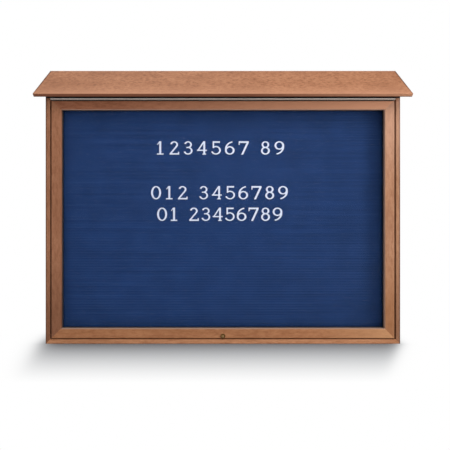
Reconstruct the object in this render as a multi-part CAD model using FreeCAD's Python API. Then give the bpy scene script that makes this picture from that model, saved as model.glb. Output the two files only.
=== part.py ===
import FreeCAD, Part
import math
import os

os.makedirs("parts", exist_ok=True)

# Lockable notice board. Millimetres; X to the right, Y into the board, Z up.
# Heights here are measured from the case's underside and the back is at Y = 0.
# The finished parts are lowered so that the origin is midway between the four wall fixing holes.

# Case
case_width = 1320.8
case_depth = 88.9
board_thick = 16.0
ease = 2.5
back_thick = 12.7

# Door and the gaps round it
door_thick = 25.4
door_member = 35.0
side_gap = 5.5
bottom_gap = 4.5
door_height = 887.4
rebate_width = 14.0
pane_setback = 12.7
pane_thick = 3.2
pane_play = 1.5
gasket_thick = 0.8

# Keys let into the mitres
spline_leg = 26.0
spline_thick = 3.0
spline_setback = 5.5

# Roof: one board on a 45 degree slope, cut plumb at the back, over a header board
roof_width = 184.15
roof_thick = 12.7
roof_overhang = 25.4
header_height = 29.7
cleat_size = 19.0
cleat_clear = 2.0

# Continuous hinge between the header and the door's top edge
leaf_thick = 1.5
leaf_gap = 1.2
barrel_radius = 3.5
barrel_clear = 0.3
hinge_pin_radius = 1.5
running_clear = 0.08
knuckle_target = 25.0
knuckle_gap = 0.5
hinge_screw_pitch = 150.0
hinge_screw_end = 40.0
hinge_rebate_height = 4.5
hinge_rebate_depth = 4.0
door_open_angle = 85.0

# Letterboard
groove_pitch = 6.35
groove_width = 1.8
groove_depth = 3.0
letterboard_thick = 12.7
letterboard_side_gap = 32.4
letterboard_low_gap = 14.0
letterboard_high_gap = 14.1
letterboard_setback = 14.3
batten_width = 40.0
batten_inset = 52.0
batten_screw_end = 50.0

# Digits: height, width, the two stroke widths, a bow's width over its height, and the thickness
digit_height = 50.8
digit_width = 38.0
stem = 7.0
thin = 4.4
bow_wide = 1.15
digit_thick = 3.0
tab_height = 1.4
tab_depth = 2.6
word_gap = 30.0
# Rows: name, text, middle, length, and the foot's distance below the letterboard's top edge
digit_rows = (
    ("digits_row_1", "1234567 89", -12.0, 494.0, 187.0),
    ("digits_row_2", "012 3456789", -13.0, 524.0, 358.0),
    ("digits_row_3", "01 23456789", -12.0, 480.0, 444.0),
)

# Cam lock in the bottom rail
lock_rise = 8.5
bezel_radius = 8.8
bezel_thick = 2.4
lock_barrel_radius = 6.35
plug_radius = 4.9
plug_clear = 0.05
lock_nut_thick = 3.0
lock_nut_radius = 10.0
cam_thick = 2.0
cam_reach = 22.0
cam_half_width = 5.0
cam_gap = 0.3
plug_recess = 0.4
plug_tail = 3.2
keyway_half = 0.8
keyway_height = 3.4
keyway_depth = 18.0
cam_screw = (1.6, 4.6, 1.8, 9.0)

# Strike plate under the cam
strike_thick = 1.5
strike_play = 2.0
strike_margin = 12.0
strike_lip = 4.0
strike_depth = 10.0
strike_screw_length = 11.0

# Door stops and their foam
stop_width = 10.0
stop_depth = 12.0
stop_height = 12.0
seal_thick = 3.0
seal_gap = 0.3
seal_inset = 1.0
stop_screw_end = 60.0

# Foam strip over the hinge, under the eave
hinge_seal_thick = 2.0
hinge_seal_height = 8.0
hinge_seal_gap = 1.0

# Gas struts: pivots measured from the hinge axis, in Y and Z
strut_case_pivot = (46.0, -38.0)
strut_door_pivot = (40.0, -330.0)
strut_inset = 19.9
tube_radius = 7.5
tube_wall = 1.0
rod_radius = 4.0
guide_length = 12.0
piston_length = 8.0
strut_neck = 14.0
rod_end_length = 32.0
rod_showing = 8.0
eye_radius = 8.0
eye_width = 8.0
pivot_radius = 4.0
door_pin_radius = 3.0
bracket_thick = 2.5
slot_clear = 0.4
slot_wall = 4.0
pin_head = 1.3
head_lip = 1.5
boss_lip = 2.5
side_play = 0.6
web_clear = 2.5
foot_reach = 9.0
foot_height = 12.0
foot_screw_end = 6.0
plate_low, plate_high = 15.0, 17.0
plate_half_height = 22.0

# Screws: shank radius, head radius, head height, length
case_screw = (2.3, 4.6, 3.2, 45.0)
roof_screw = (2.1, 4.2, 2.8, 28.0)
board_screw = (2.1, 4.2, 2.8, 30.0)
hinge_screw = (1.9, 3.4, 1.4, 22.0)
small_screw = (1.5, 3.0, 1.6, 14.0)

# Wall fixing holes through the back panel, beside the letterboard
wall_hole_radius = 4.4
wall_hole_inset = 15.9
wall_hole_low = 84.0
wall_hole_high = 90.0

# Screw places along the case's edges
back_screw_low = 44.0
back_screw_high = 20.0
floor_screw_inset = 144.4

# Derived places
half_width = case_width / 2
inner_half = half_width - board_thick
front = -case_depth
door_half = inner_half - side_gap
door_bottom = board_thick + bottom_gap
door_top = door_bottom + door_height
door_back = front + door_thick
opening_half = door_half - door_member
opening_bottom = door_bottom + door_member
opening_top = door_top - door_member
rebate_front = front + pane_setback
pane_front = rebate_front + gasket_thick
pane_back = pane_front + pane_thick
header_bottom = door_top + 2 * leaf_thick + leaf_gap
header_back = front + board_thick
roof_drop = roof_thick * math.sqrt(2)
ridge_height = header_bottom + header_height + case_depth + roof_drop
axis_y = front - barrel_clear - barrel_radius
axis_z = door_top + leaf_thick + leaf_gap / 2
letterboard_front = door_back + letterboard_setback
letterboard_back = letterboard_front + letterboard_thick
letterboard_half = inner_half - letterboard_side_gap
letterboard_bottom = board_thick + letterboard_low_gap
letterboard_top = header_bottom - letterboard_high_gap
batten_offset = letterboard_half - batten_inset
lock_height = door_bottom + lock_rise
strut_offset = inner_half - strut_inset
wall_hole_offset = inner_half - wall_hole_inset
wall_hole_heights = (board_thick + wall_hole_low, axis_z - wall_hole_high)
origin_height = sum(wall_hole_heights) / len(wall_hole_heights)
parts = {}


def vec(plane, u, v, w):
    """The point with outline coordinates u, v and place w along the plane's own axis."""
    return {"x": FreeCAD.Vector(w, u, v), "y": FreeCAD.Vector(u, w, v), "z": FreeCAD.Vector(u, v, w)}[plane]


def corner(before, here, after, radius):
    """The start, middle and end of the arc that rounds one corner of an outline."""
    a = [before[0] - here[0], before[1] - here[1]]
    b = [after[0] - here[0], after[1] - here[1]]
    la = math.hypot(*a)
    lb = math.hypot(*b)
    a = [a[0] / la, a[1] / la]
    b = [b[0] / lb, b[1] / lb]
    half = math.acos(max(-1.0, min(1.0, a[0] * b[0] + a[1] * b[1]))) / 2
    run = radius / math.tan(half)
    mid = [a[0] + b[0], a[1] + b[1]]
    lm = math.hypot(*mid)
    reach = radius / math.sin(half) - radius
    return (
        (here[0] + a[0] * run, here[1] + a[1] * run),
        (here[0] + mid[0] / lm * reach, here[1] + mid[1] / lm * reach),
        (here[0] + b[0] * run, here[1] + b[1] * run),
    )


def outline(plane, points, w, radii=None):
    """A flat face through the points, with rounded corners where radii says so."""
    edges = []
    count = len(points)
    radii = radii or {}
    stops = []
    for i, here in enumerate(points):
        if radii.get(i):
            stops.append(corner(points[i - 1], here, points[(i + 1) % count], radii[i]))
        else:
            stops.append((here, None, here))
    for i, (start, mid, end) in enumerate(stops):
        if mid:
            edges.append(Part.Arc(vec(plane, *start, w), vec(plane, *mid, w), vec(plane, *end, w)).toShape())
        after = stops[(i + 1) % count][0]
        edges.append(Part.makeLine(vec(plane, *end, w), vec(plane, *after, w)))
    return Part.Face(Part.Wire(edges))


def prism(plane, points, start, end, radii=None):
    """The outline pushed along the plane's own axis from start to end."""
    return outline(plane, points, start, radii).extrude(vec(plane, 0, 0, end - start))


def box(x0, x1, y0, y1, z0, z1):
    return Part.makeBox(x1 - x0, y1 - y0, z1 - z0, FreeCAD.Vector(x0, y0, z0))


def rod(start, end, radius):
    """A round bar between two points."""
    start = FreeCAD.Vector(*start)
    along = FreeCAD.Vector(*end) - start
    return Part.makeCylinder(radius, along.Length, start, along)


def turned(profile, place, direction):
    """A turned piece: profile is radius and distance along the axis from place in direction."""
    points = [FreeCAD.Vector(r, 0, h) for r, h in profile]
    face = Part.Face(Part.makePolygon(points + [points[0]]))
    solid = face.revolve(FreeCAD.Vector(0, 0, 0), FreeCAD.Vector(0, 0, 1), 360)
    turn = FreeCAD.Rotation(FreeCAD.Vector(0, 0, 1), FreeCAD.Vector(*direction))
    solid.Placement = FreeCAD.Placement(FreeCAD.Vector(*place), turn)
    return solid


def mirrored(shape):
    return shape.mirror(FreeCAD.Vector(0, 0, 0), FreeCAD.Vector(1, 0, 0))


def screw(size, place, direction, domed=False):
    """A wood screw and the plain shape of its hole; the head lies flush, or stands proud when domed."""
    shank, head, sink, length = size
    point = 2 * shank
    if domed:
        top = [(0, -sink), (0.6 * head, -sink), (head, -0.4 * sink), (head, 0), (shank, 0)]
        face_at = -sink
    else:
        top = [(0, 0), (head, 0), (shank, sink)]
        face_at = 0
    hole = turned(top + [(shank, length - point), (0, length)], place, direction)
    turn = FreeCAD.Rotation(FreeCAD.Vector(0, 0, 1), FreeCAD.Vector(*direction))
    side = 1.1 * shank
    recess = Part.makeBox(side, side, 0.5 * sink, FreeCAD.Vector(-side / 2, -side / 2, face_at))
    recess.Placement = FreeCAD.Placement(FreeCAD.Vector(*place), turn)
    return hole.cut(recess), hole


def add_screws(node, made, names):
    """Keep the screws as one node and open their holes in the named pieces."""
    parts.setdefault(node, []).extend(s for s, _ in made)
    for name in names:
        parts[name] = parts[name].cut([hole for _, hole in made])


def spread(low, high, count):
    return [low + (high - low) * i / (count - 1) for i in range(count)]


def roof_underside(y):
    return ridge_height - roof_drop + y


def case_boards():
    cut_back = roof_underside(0)
    side = prism(
        "z",
        [(-half_width, front), (-inner_half, front), (-inner_half, 0), (-half_width, 0)],
        0,
        cut_back,
        {0: ease, 1: ease / 2},
    )
    below_roof = prism(
        "x", [(front, 0), (0, 0), (0, cut_back), (front, roof_underside(front))], -half_width, half_width
    )
    corner_cut = [(-half_width, 0), (-inner_half, 0), (-inner_half, board_thick)]
    side = side.common(below_roof).cut(prism("y", corner_cut, front, 0))
    parts["left_side_board"] = side
    parts["right_side_board"] = mirrored(side)
    bottom = prism(
        "x",
        [(front, 0), (0, 0), (0, board_thick), (front, board_thick)],
        -half_width,
        half_width,
        {0: ease, 3: ease / 2},
    )
    ends = [(-half_width, 0), (half_width, 0), (inner_half, board_thick), (-inner_half, board_thick)]
    parts["bottom_board"] = bottom.common(prism("y", ends, front, 0))
    header = [
        (front, header_bottom),
        (header_back, header_bottom),
        (header_back, roof_underside(header_back)),
        (front, roof_underside(front)),
    ]
    parts["header_board"] = prism("x", header, -inner_half, inner_half)
    back = [
        (-back_thick, board_thick),
        (0, board_thick),
        (0, cut_back),
        (-back_thick, roof_underside(-back_thick)),
    ]
    panel = prism("x", back, -inner_half, inner_half)
    for x in (-wall_hole_offset, wall_hole_offset):
        for z in wall_hole_heights:
            panel = panel.cut(rod((x, -back_thick, z), (x, 0, z), wall_hole_radius))
    parts["back_panel"] = panel


def roof():
    reach = roof_width / math.sqrt(2)
    step = roof_thick / math.sqrt(2)
    section = [
        (0, ridge_height),
        (-reach, ridge_height - reach),
        (-reach + step, ridge_height - reach - step),
        (0, ridge_height - roof_drop),
    ]
    half = half_width + roof_overhang
    parts["roof_board"] = prism("x", section, -half, half, {1: ease, 2: ease / 2})
    cleat = cleat_size
    near = header_back + cleat_clear
    far = -back_thick - cleat_clear
    drop = cleat * math.sqrt(2)
    section = [
        (near, roof_underside(near)),
        (far, roof_underside(far)),
        (far, roof_underside(far) - drop),
        (near, roof_underside(near) - drop),
    ]
    block = prism("x", section, inner_half - cleat, inner_half)
    parts["roof_cleat_right"] = block
    parts["roof_cleat_left"] = mirrored(block)
    slope = math.sqrt(0.5)
    for side, name in ((-1, "left"), (1, "right")):
        made = []
        for share in (0.32, 0.8):
            y = near + (far - near) * share
            z = roof_underside(y) - drop
            made.append(screw(roof_screw, (side * (inner_half - 0.3 * cleat), y, z), (0, -slope, slope)))
            y = near + (far - near) * (1 - share) * 0.9
            z = roof_underside(y) - drop / 2
            made.append(screw(roof_screw, (side * (inner_half - cleat), y, z), (side, 0, 0)))
        add_screws("roof_screws", made, ["roof_cleat_" + name, "roof_board", name + "_side_board"])


def case_fixings():
    y_mid = -back_thick / 2
    low, high = case_depth * 0.25, case_depth * 0.78
    for side, name in ((-1, "left"), (1, "right")):
        end = side * half_width
        made = [screw(case_screw, (end, -y, board_thick / 2), (-side, 0, 0)) for y in (low, high)]
        add_screws("case_screws", made, [name + "_side_board", "bottom_board"])
        made = [
            screw(case_screw, (end, front + board_thick / 2, header_bottom + up), (-side, 0, 0))
            for up in (0.27 * header_height, 0.81 * header_height)
        ]
        add_screws("case_screws", made, [name + "_side_board", "header_board"])
        heights = spread(board_thick + back_screw_low, axis_z - back_screw_high, 5)
        made = [screw(case_screw, (end, y_mid, z), (-side, 0, 0)) for z in heights]
        add_screws("case_screws", made, [name + "_side_board", "back_panel"])
    reach = inner_half - floor_screw_inset
    made = [screw(case_screw, (x, y_mid, 0), (0, 0, 1)) for x in spread(-reach, reach, 5)]
    add_screws("case_screws", made, ["bottom_board", "back_panel"])


def letterboard():
    points = [(letterboard_back, letterboard_bottom), (letterboard_back, letterboard_top)]
    points.append((letterboard_front, letterboard_top))
    for z in reversed(groove_heights()):
        up, down = z + groove_width / 2, z - groove_width / 2
        deep = letterboard_front + groove_depth
        points += [(letterboard_front, up), (deep, up), (deep, down), (letterboard_front, down)]
    points.append((letterboard_front, letterboard_bottom))
    parts["letterboard"] = prism("x", points, -letterboard_half, letterboard_half)
    for name, x in (("left", -batten_offset), ("centre", 0), ("right", batten_offset)):
        half = batten_width / 2
        node = "batten_" + name
        parts[node] = box(
            x - half, x + half, letterboard_back, -back_thick, letterboard_bottom, letterboard_top
        )
        heights = spread(letterboard_bottom + batten_screw_end, letterboard_top - batten_screw_end, 4)
        made = [screw(board_screw, (x, 0, z), (0, -1, 0)) for z in heights]
        add_screws("batten_screws", made, ["back_panel", node])
        ends = (letterboard_bottom + 2 * groove_pitch, letterboard_top - 2 * groove_pitch)
        made = [screw(board_screw, (x, letterboard_front, z), (0, 1, 0)) for z in ends]
        add_screws("letterboard_screws", made, ["letterboard", node])


def groove_heights():
    count = int((letterboard_top - letterboard_bottom) / groove_pitch) - 1
    return [letterboard_bottom + groove_pitch * (i + 1) for i in range(count)]


def bar(x0, x1, z0, z1):
    return box(x0, x1, -digit_thick, 0, z0, z1)


def slant(low_x, low_z, high_x, high_z, width):
    """A sloping stroke, its width measured level."""
    points = [(low_x, low_z), (low_x + width, low_z), (high_x + width, high_z), (high_x, high_z)]
    return prism("y", points, -digit_thick, 0)


def drawn(edges):
    """A stroke from the closed line round it."""
    return Part.Face(Part.Wire(Part.__sortEdges__(edges))).extrude(FreeCAD.Vector(0, digit_thick, 0))


def oval(x, z, half_width, half_height):
    """An ellipse in the plane of the digits' fronts."""
    centre = FreeCAD.Vector(x, -digit_thick, z)
    across = FreeCAD.Vector(half_width, 0, 0)
    up = FreeCAD.Vector(0, 0, half_height)
    if half_width >= half_height:
        return Part.Ellipse(centre + across, centre + up, centre)
    return Part.Ellipse(centre + up, centre - across, centre)


def ring(x, z, half_width, half_height, width):
    """A closed curved stroke, wider at its sides than at its top and foot."""
    outer = drawn([oval(x, z, half_width, half_height).toShape()])
    return outer.cut(drawn([oval(x, z, half_width - width, half_height - thin).toShape()]))


def bow(x, z, radius, width, first, last):
    """An open curved stroke between two angles measured from the right."""
    outer = oval(x, z, radius * bow_wide, radius)
    inner = oval(x, z, radius * bow_wide - width, radius - thin)
    start, end = math.radians(first), math.radians(last)
    edges = [
        outer.toShape(start, end),
        Part.makeLine(outer.value(end), inner.value(end)),
        inner.toShape(start, end),
        Part.makeLine(inner.value(start), outer.value(start)),
    ]
    return drawn(edges)


def digit_strokes(mark):
    """The strokes of one digit, from its lower left corner."""
    w, h, s, t = digit_width, digit_height, stem, thin
    mid = w / 2
    low = 0.29 * h
    high = h - 0.25 * h
    top = 0.25 * h
    bowl = 1.08 * low
    back = 1.98 * low
    flag = 0.24 * h
    if mark == "0":
        return [ring(mid, h / 2, mid, h / 2, s)]
    if mark == "1":
        return [
            bar(mid - s / 2, mid + s / 2, 0, h),
            bar(mid - flag, mid + flag, 0, t),
            slant(mid - flag, h - flag, mid - s / 2, h, s / 2),
        ]
    if mark == "2":
        lean = math.radians(-35)
        touch_x = mid + top * bow_wide * math.cos(lean)
        touch_z = high + top * math.sin(lean)
        return [
            bow(mid, high, top, 0.9 * s, -56, 170),
            slant(0.05 * w, t, touch_x - s, touch_z, s),
            bar(0.05 * w, w, 0, 1.2 * t),
            bar(w - t, w, 0, 2.4 * t),
        ]
    if mark == "3":
        return [
            bow(mid, high, top, 0.9 * s, -85, 165),
            bow(mid, low, low, 0.9 * s, -165, 90),
            bar(mid - 0.5 * top, mid, 2 * low - t, 2 * low),
        ]
    if mark == "4":
        stem_x = 0.64 * w
        return [
            bar(stem_x, stem_x + s, 0, h),
            bar(0, w, 0.28 * h, 0.28 * h + t),
            slant(0, 0.28 * h, stem_x, h, 0.8 * s),
            bar(stem_x - s / 2, stem_x + 1.5 * s, 0, 0.8 * t),
        ]
    if mark == "5":
        side = mid - 0.72 * low * bow_wide
        return [
            bow(mid, low * 1.12, low * 1.12, 0.9 * s, -160, 128),
            bar(side, side + 0.8 * s, 1.7 * low, h),
            bar(side, mid + 0.9 * low * bow_wide, h - 1.3 * t, h),
        ]
    if mark == "6":
        return [
            ring(mid, bowl, bowl * bow_wide, bowl, s),
            bow(mid + (back - bowl) * bow_wide, h - back, back, 0.95 * s, 100, 190),
        ]
    if mark == "7":
        return [
            bar(0, w, h - 1.4 * t, h),
            bar(0, 0.8 * t, h - 3 * t, h),
            slant(0.25 * w, 0, w - 1.1 * s, h - 1.4 * t, 1.1 * s),
        ]
    if mark == "8":
        return [
            ring(mid, high, top * bow_wide, top, 0.95 * s),
            ring(mid, low, low * bow_wide, low, s),
        ]
    turned_six = []
    for stroke in digit_strokes("6"):
        copy = stroke.copy()
        copy.rotate(FreeCAD.Vector(w / 2, 0, h / 2), FreeCAD.Vector(0, 1, 0), 180)
        turned_six.append(copy)
    return turned_six


def digit(mark):
    """One digit with its two tabs, its back on the plane Y = 0."""
    strokes = digit_strokes(mark)
    body = strokes[0] if len(strokes) == 1 else strokes[0].fuse(strokes[1:]).removeSplitter()
    tabs = []
    for z in (2 * groove_pitch, 6 * groove_pitch):
        slab = box(-1, digit_width + 1, -digit_thick, 0, z - tab_height / 2, z + tab_height / 2)
        slice_ = body.common(slab)
        slice_.translate(FreeCAD.Vector(0, tab_depth, 0))
        tabs.append(slice_)
    return body.fuse(tabs)


def digits():
    heights = groove_heights()
    made = {}
    for node, text, middle, length, drop in digit_rows:
        base = letterboard_top - drop
        lowest = min(heights, key=lambda z: abs(z - 2 * groove_pitch - base))
        count = len(text.replace(" ", ""))
        pitch = (length - word_gap - digit_width) / (count - 1)
        x = middle - length / 2
        row = []
        for mark in text:
            if mark == " ":
                x += word_gap
                continue
            if mark not in made:
                made[mark] = digit(mark)
            copy = made[mark].copy()
            copy.translate(FreeCAD.Vector(x, letterboard_front, lowest - 2 * groove_pitch))
            row.append(copy)
            x += pitch
        parts[node] = row


def member_section():
    """Door section: distance inward from the outer edge, and Y."""
    return [
        (0, front),
        (door_member, front),
        (door_member, rebate_front),
        (door_member - rebate_width, rebate_front),
        (door_member - rebate_width, door_back),
        (0, door_back),
    ]


def door_frame():
    section = member_section()
    rounding = {0: ease, 1: ease / 2}
    m = door_member
    left = prism("z", [(-door_half + u, y) for u, y in section], door_bottom, door_top, rounding)
    outer = [(-door_half, door_bottom), (-door_half, door_top)]
    inner = [(-door_half + m, door_top - m), (-door_half + m, door_bottom + m)]
    left = left.common(prism("y", outer + inner, front, door_back))
    parts["door_left_stile"] = left
    parts["door_right_stile"] = mirrored(left)
    wedge = [(-door_half, door_bottom), (door_half, door_bottom)]
    wedge += [(opening_half, opening_bottom), (-opening_half, opening_bottom)]
    rail = prism("x", [(y, door_bottom + u) for u, y in section], -door_half, door_half, rounding)
    parts["door_bottom_rail"] = rail.common(prism("y", wedge, front, door_back))
    wedge = [(-door_half, door_top), (door_half, door_top)]
    wedge += [(opening_half, opening_top), (-opening_half, opening_top)]
    rail = prism("x", [(y, door_top - u) for u, y in section], -door_half, door_half, rounding)
    parts["door_top_rail"] = rail.common(prism("y", wedge, front, door_back))
    rebate_low = door_top - hinge_rebate_height
    clear = box(-door_half, door_half, front, front + hinge_rebate_depth, rebate_low, door_top)
    for node in ("door_left_stile", "door_right_stile", "door_top_rail"):
        parts[node] = parts[node].cut(clear)
    splines()


def splines():
    """Flat keys let into the outer corners of the four mitres."""
    leg = spline_leg
    near = front + spline_setback
    keys = []
    for side, stile in ((-1, "door_left_stile"), (1, "door_right_stile")):
        for z, up, rail in ((door_bottom, 1, "door_bottom_rail"), (door_top, -1, "door_top_rail")):
            x = side * door_half
            key = prism("y", [(x, z), (x - side * leg, z), (x, z + up * leg)], near, near + spline_thick)
            keys.append(key)
            parts[stile] = parts[stile].cut(key)
            parts[rail] = parts[rail].cut(key)
    parts["mitre_splines"] = keys


def glazing():
    half = opening_half + rebate_width
    low = opening_bottom - rebate_width
    high = opening_top + rebate_width
    gasket = box(-half, half, rebate_front, pane_front, low, high)
    parts["pane_gasket"] = gasket.cut(
        box(-opening_half, opening_half, rebate_front, pane_front, opening_bottom, opening_top)
    )
    p = pane_play
    parts["pane"] = box(-half + p, half - p, pane_front, pane_back, low + p, high - p)
    bead = box(-half, -opening_half, pane_back, door_back, low, high)
    parts["pane_bead_left"] = bead
    parts["pane_bead_right"] = mirrored(bead)
    across = (-opening_half, opening_half, pane_back, door_back)
    parts["pane_bead_bottom"] = box(*across, low, opening_bottom)
    parts["pane_bead_top"] = box(*across, opening_top, high)
    y = (pane_back + door_back) / 2
    size = small_screw[:3] + (rebate_width + 12.0,)
    for z in spread(opening_bottom + 60.0, opening_top - 60.0, 4):
        for side, name in ((-1, "left"), (1, "right")):
            made = [screw(size, (side * opening_half, y, z), (side, 0, 0))]
            add_screws("fitting_screws_door", made, ["pane_bead_" + name, "door_" + name + "_stile"])
    for x in spread(-opening_half + 75.0, opening_half - 75.0, 6):
        made = [screw(size, (x, y, opening_bottom), (0, 0, -1))]
        add_screws("fitting_screws_door", made, ["pane_bead_bottom", "door_bottom_rail"])
        made = [screw(size, (x, y, opening_top), (0, 0, 1))]
        add_screws("fitting_screws_door", made, ["pane_bead_top", "door_top_rail"])


def hinge():
    count = int(2 * door_half / knuckle_target / 2) * 2 + 1
    pitch = 2 * door_half / count
    near = front + 0.4
    far = header_back - 0.4
    bore_end = door_half + 1
    bore = rod((-bore_end, axis_y, axis_z), (bore_end, axis_y, axis_z), hinge_pin_radius + running_clear)
    for node, first, low in (
        ("hinge_upper_leaf", 0, header_bottom - leaf_thick),
        ("hinge_lower_leaf", 1, door_top),
    ):
        pieces = [box(-door_half, door_half, near, far, low, low + leaf_thick)]
        for i in range(first, count, 2):
            x0 = -door_half + i * pitch + knuckle_gap / 2
            x1 = x0 + pitch - knuckle_gap
            pieces.append(box(x0, x1, axis_y, near, low, low + leaf_thick))
            pieces.append(rod((x0, axis_y, axis_z), (x1, axis_y, axis_z), barrel_radius))
        parts[node] = pieces[0].fuse(pieces[1:]).cut(bore).removeSplitter()
    end = door_half - knuckle_gap
    parts["hinge_pin"] = rod((-end, axis_y, axis_z), (end, axis_y, axis_z), hinge_pin_radius)
    screws = int(2 * door_half / hinge_screw_pitch) + 1
    y = (near + far) / 2
    places = spread(-door_half + hinge_screw_end, door_half - hinge_screw_end, screws)
    made = [screw(hinge_screw, (x, y, header_bottom - leaf_thick), (0, 0, 1)) for x in places]
    add_screws("hinge_case_screws", made, ["hinge_upper_leaf", "header_board"])
    made = [screw(hinge_screw, (x, y, door_top + leaf_thick), (0, 0, -1)) for x in places]
    add_screws("hinge_door_screws", made, ["hinge_lower_leaf", "door_top_rail", "pane_bead_top"])


def lock():
    z = lock_height
    back = door_back + lock_nut_thick
    lip = bezel_thick / 3
    profile = [
        (0, front - bezel_thick),
        (bezel_radius - lip, front - bezel_thick),
        (bezel_radius, front - bezel_thick + lip),
        (bezel_radius, front),
        (lock_barrel_radius, front),
        (lock_barrel_radius, back),
        (0, back),
    ]
    body = turned([(r, y) for r, y in profile], (0, 0, z), (0, 1, 0))
    flat = lock_barrel_radius * 0.86
    for side in (-1, 1):
        x0, x1 = sorted((side * flat, side * (flat + 2)))
        body = body.cut(box(x0, x1, front, back, z - lock_barrel_radius, z + lock_barrel_radius))
    parts["door_bottom_rail"] = parts["door_bottom_rail"].cut(body)
    bore = plug_radius + plug_clear
    body = body.cut(rod((0, front - bezel_thick, z), (0, back, z), bore))
    parts["lock_body"] = body
    hexagon = [
        (lock_nut_radius * math.cos(math.radians(a)), z + lock_nut_radius * math.sin(math.radians(a)))
        for a in range(0, 360, 60)
    ]
    nut = prism("y", hexagon, door_back, back)
    parts["lock_nut"] = nut.cut(rod((0, door_back, z), (0, back, z), lock_barrel_radius))
    face = front - bezel_thick + plug_recess
    cam_front = back + cam_gap
    cam_back = cam_front + cam_thick
    plug = rod((0, face, z), (0, back, z), plug_radius)
    tail = plug_tail
    plug = plug.fuse(box(-tail, tail, back, cam_back, z - tail, z + tail))
    slit, high = keyway_half, keyway_height
    plug = plug.cut(box(-slit, slit, face, face + keyway_depth, z - high, z + high))
    fixing = screw(cam_screw, (0, cam_back, z), (0, -1, 0), domed=True)
    parts["lock_plug"] = plug.cut(fixing[1])
    parts["lock_cam_screw"] = [fixing[0]]
    c = cam_half_width
    arm = prism(
        "y",
        [(-c - 1.5, z - c), (cam_reach, z - c), (cam_reach, z + c), (-c - 1.5, z + c)],
        cam_front,
        cam_back,
        {0: c - 0.2, 1: 2.0, 2: 2.0, 3: c - 0.2},
    )
    parts["lock_cam"] = arm.cut(box(-tail, tail, cam_front, cam_back, z - tail, z + tail))
    strike(cam_front, cam_back)


def strike(cam_front, cam_back):
    """A slotted plate let into the bottom board, and the pocket under it."""
    top = board_thick
    y0, y1 = cam_front - strike_play, cam_back + strike_play
    sweep = math.sqrt(cam_reach**2 + cam_half_width**2 - (lock_height - top) ** 2)
    x0, x1 = -cam_half_width - strike_play, sweep + strike_play
    m = strike_margin
    plate = box(x0 - m, x1 + m, y0 - strike_lip, y1 + strike_lip, top - strike_thick, top)
    parts["bottom_board"] = parts["bottom_board"].cut(plate)
    parts["strike_plate"] = plate.cut(box(x0, x1, y0, y1, top - strike_thick, top))
    parts["bottom_board"] = parts["bottom_board"].cut(box(x0, x1, y0, y1, top - strike_depth, top))
    y = (y0 + y1) / 2
    size = small_screw[:3] + (strike_screw_length,)
    made = [screw(size, (x, y, top), (0, 0, -1)) for x in (x0 - m / 2, x1 + m / 2)]
    add_screws("fitting_screws_case", made, ["strike_plate", "bottom_board"])
    stops(x0 - m - 2.0, x1 + m + 2.0)


def stops(notch_left, notch_right):
    """Strips that the shut door's foam rests on; the bottom ones leave room for the lock."""
    y0 = door_back + seal_gap + seal_thick
    y1 = y0 + stop_depth
    low = board_thick
    x_in = inner_half - stop_width
    bracket_low = axis_z + strut_case_pivot[1] - plate_half_height
    side_top = bracket_low - 5.0
    side_low = low + stop_height
    size = small_screw[:3] + (stop_width + 12.0,)
    for side, name in ((-1, "left"), (1, "right")):
        strip = box(x_in, inner_half, y0, y1, side_low, side_top)
        node = "door_stop_" + name
        parts[node] = strip if side > 0 else mirrored(strip)
        heights = spread(side_low + 40.0, side_top - 40.0, 4)
        made = [screw(size, (side * x_in, (y0 + y1) / 2, z), (side, 0, 0)) for z in heights]
        add_screws("fitting_screws_case", made, [node, name + "_side_board"])
    for node, x0, x1 in (
        ("door_stop_bottom_left", -inner_half, notch_left),
        ("door_stop_bottom_right", notch_right, inner_half),
    ):
        parts[node] = box(x0, x1, y0, y1, low, low + stop_height)
        places = spread(x0 + stop_screw_end, x1 - stop_screw_end, 3)
        made = [screw(size, (x, (y0 + y1) / 2, low + stop_height), (0, 0, -1)) for x in places]
        add_screws("fitting_screws_case", made, [node, "bottom_board"])
    s = seal_inset
    foam_front, foam_back = door_back + seal_gap, y0
    z0, z1 = door_bottom + s, low + stop_height - s
    right = box(x_in + s, door_half - s, foam_front, foam_back, side_low + s, side_top - s)
    over_hinge = axis_z + barrel_radius + hinge_seal_gap
    reach = half_width - ease
    parts["door_seals"] = [
        box(-reach, reach, front - hinge_seal_thick, front, over_hinge, over_hinge + hinge_seal_height),
        right,
        mirrored(right),
        box(-door_half + s, notch_left - s, foam_front, foam_back, z0, z1),
        box(notch_right + s, door_half - s, foam_front, foam_back, z0, z1),
    ]


def strut_points():
    """The strut's two pivots, the direction between them and their distance, with the door shut."""
    y0, z0 = axis_y + strut_case_pivot[0], axis_z + strut_case_pivot[1]
    y1, z1 = axis_y + strut_door_pivot[0], axis_z + strut_door_pivot[1]
    length = math.hypot(y1 - y0, z1 - z0)
    return (y0, z0), (y1, z1), ((y1 - y0) / length, (z1 - z0) / length), length


def strut_drift():
    """How the rod's pin moves in the door when the strut turns and extends evenly with the door."""
    cy, cz = strut_case_pivot
    by, bz = strut_door_pivot
    steps = 90
    poses = []
    for i in range(steps + 1):
        a = math.radians(door_open_angle) * i / steps
        y, z = by * math.cos(a) + bz * math.sin(a) - cy, bz * math.cos(a) - by * math.sin(a) - cz
        poses.append((a, math.atan2(y, -z), math.hypot(y, z)))
    (_, turn0, long0), (end, turn1, long1) = poses[0], poses[-1]
    path = []
    for a, _, _ in poses:
        share = a / end
        turn = turn0 + (turn1 - turn0) * share
        reach = long0 + (long1 - long0) * share
        y, z = cy + reach * math.sin(turn), cz - reach * math.cos(turn)
        path.append((y * math.cos(a) - z * math.sin(a) - by, y * math.sin(a) + z * math.cos(a) - bz))
    far = max(path, key=lambda p: math.hypot(*p))
    size = math.hypot(*far)
    along = (far[0] / size, far[1] / size)
    side = max(abs(p[1] * along[0] - p[0] * along[1]) for p in path)
    return along, size, side


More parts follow.
